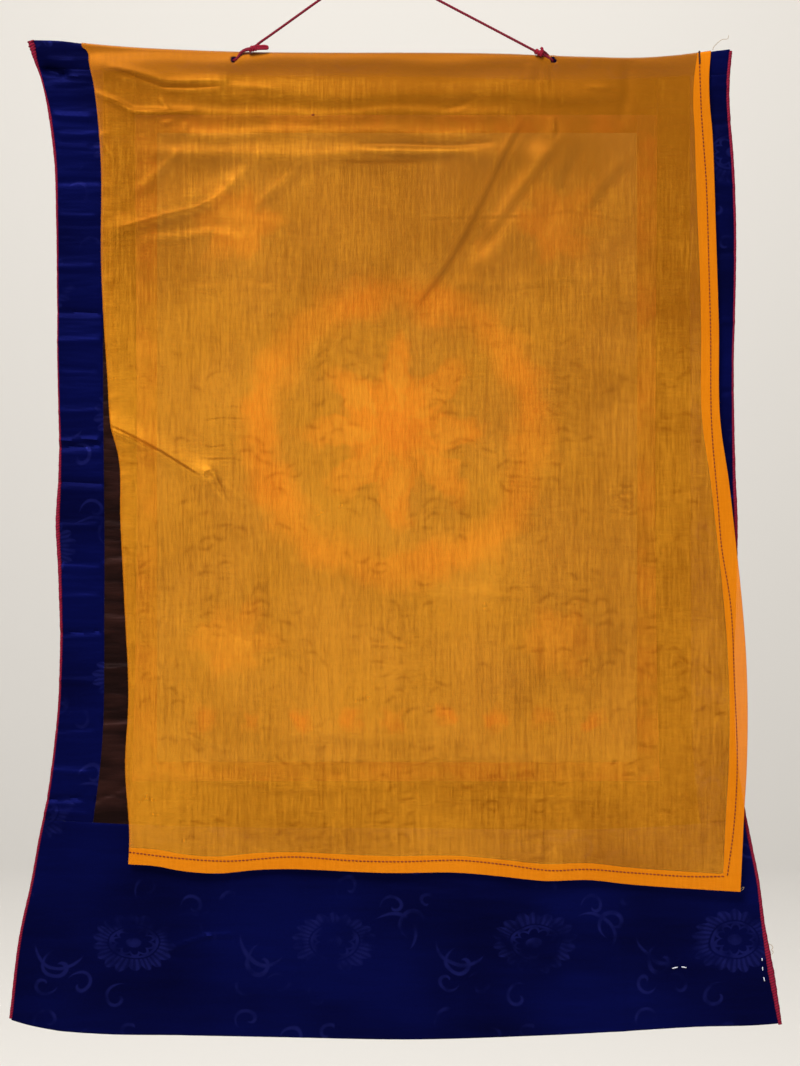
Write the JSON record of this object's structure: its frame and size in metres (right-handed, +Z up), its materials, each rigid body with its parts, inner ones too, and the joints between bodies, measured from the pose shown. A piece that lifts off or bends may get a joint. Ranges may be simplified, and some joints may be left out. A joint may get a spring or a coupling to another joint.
{
  "type": "hanging scroll painting with a sheer veil, a thangka, on its cord",
  "caption": "Painting on cloth in a sewn silk mount that flares at the foot, covered by a sheer hemmed veil and hung by a knotted cord.",
  "frame": {"origin": "the point on the hanging cord's underside where it bears on the nail or hook that holds it", "axes": "+Z up, the front faces -Y, +X to the viewer's right"},
  "size_m": [0.6564, 0.0155, 0.9142],
  "materials": {
    "navy_silk": "satin",
    "brown_silk": "satin",
    "red_silk": "satin",
    "painted_cotton": "matte",
    "veil_silk": "satin",
    "binding_silk": "satin",
    "cord_yarn": "matte"
  },
  "bodies": {
    "root": {"navy_heading": "navy_silk", "navy_side_left": "navy_silk", "navy_side_right": "navy_silk", "navy_foot": "navy_silk", "brown_left": "brown_silk", "brown_right": "brown_silk", "brown_top": "brown_silk", "brown_bottom": "brown_silk", "red_left": "red_silk", "red_right": "red_silk", "red_top": "red_silk", "red_bottom": "red_silk", "painting": "painted_cotton", "veil": "veil_silk", "edge_binding_left": "binding_silk", "edge_binding_right": "binding_silk", "hanging_cord": "cord_yarn", "cord_loop_left": "cord_yarn", "cord_loop_right": "cord_yarn", "cord_knot_left": "cord_yarn", "cord_knot_right": "cord_yarn"}
  },
  "joints": []
}
